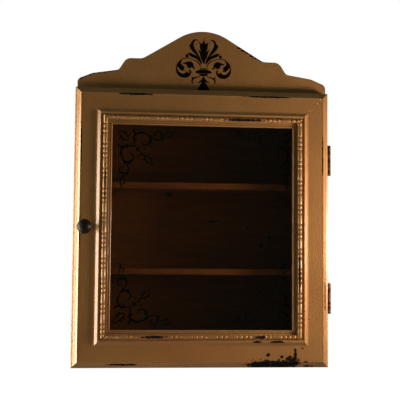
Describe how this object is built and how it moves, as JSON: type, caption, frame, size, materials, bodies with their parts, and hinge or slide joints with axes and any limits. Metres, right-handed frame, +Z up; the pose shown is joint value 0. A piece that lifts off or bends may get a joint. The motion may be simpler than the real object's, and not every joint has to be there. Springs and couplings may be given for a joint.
{
  "type": "wall display cabinet",
  "caption": "Wall-hung display cabinet with a shaped crest, shelves, and a glazed mitred door with bead-and-reel moulding that swings on butt hinges.",
  "frame": {"origin": "on the wall plane, midway between the entry holes of the two keyhole plates", "axes": "+X to the viewer's right, +Y into the wall, +Z up; the door faces -Y"},
  "size_m": [0.4282, 0.1613, 0.5575],
  "materials": {
    "gold_paint": "satin bronze-gold paint on pine, worn to a black undercoat at the edges",
    "stained_pine": "dark stained knotty pine",
    "glass": "clear float glass",
    "dark_bronze": "dark bronze, glossy",
    "hinge_metal": "bronzed steel, worn on the barrel",
    "fastener_steel": "dull steel",
    "plate_steel": "zinc plated",
    "catch_plastic": "moulded",
    "magnet": "sintered ferrite"
  },
  "bodies": {
    "case": {"left_side": "gold_paint", "right_side": "gold_paint", "top_board": "gold_paint", "bottom_board": "gold_paint", "back_panel": "stained_pine", "upper_shelf": "stained_pine", "lower_shelf": "stained_pine", "case_nails": "fastener_steel", "crest_board": "gold_paint", "crest_screws": "fastener_steel", "upper_hinge_case_leaf": "hinge_metal", "upper_hinge_pin": "hinge_metal", "lower_hinge_case_leaf": "hinge_metal", "lower_hinge_pin": "hinge_metal", "hinge_case_screws": "fastener_steel", "left_keyhole_plate": "plate_steel", "right_keyhole_plate": "plate_steel", "keyhole_plate_screws": "fastener_steel", "catch_housing": "catch_plastic", "catch_magnet": "magnet", "catch_pole_plates": "plate_steel", "catch_screws": "fastener_steel"},
    "door": {"door_left_stile": "gold_paint", "door_right_stile": "gold_paint", "door_top_rail": "gold_paint", "door_bottom_rail": "gold_paint", "corner_splines": "stained_pine", "moulding_left": "gold_paint", "moulding_right": "gold_paint", "moulding_top": "gold_paint", "moulding_bottom": "gold_paint", "beading_left": "gold_paint", "beading_right": "gold_paint", "beading_top": "gold_paint", "beading_bottom": "gold_paint", "glass_pane": "glass", "glazing_strip_left": "stained_pine", "glazing_strip_right": "stained_pine", "glazing_strip_top": "stained_pine", "glazing_strip_bottom": "stained_pine", "glazing_pins": "fastener_steel", "knob": "dark_bronze", "knob_screw": "fastener_steel", "upper_hinge_door_leaf": "hinge_metal", "lower_hinge_door_leaf": "hinge_metal", "hinge_door_screws": "fastener_steel", "strike_plate": "plate_steel", "strike_screw": "fastener_steel"}
  },
  "joints": [
    {"name": "door_hinge", "type": "hinge", "parent": "case", "child": "door", "pos_m": [0.2152, -0.11575, -0.1675], "axis": [0, 0, 1], "range_deg": [0, 180]}
  ]
}
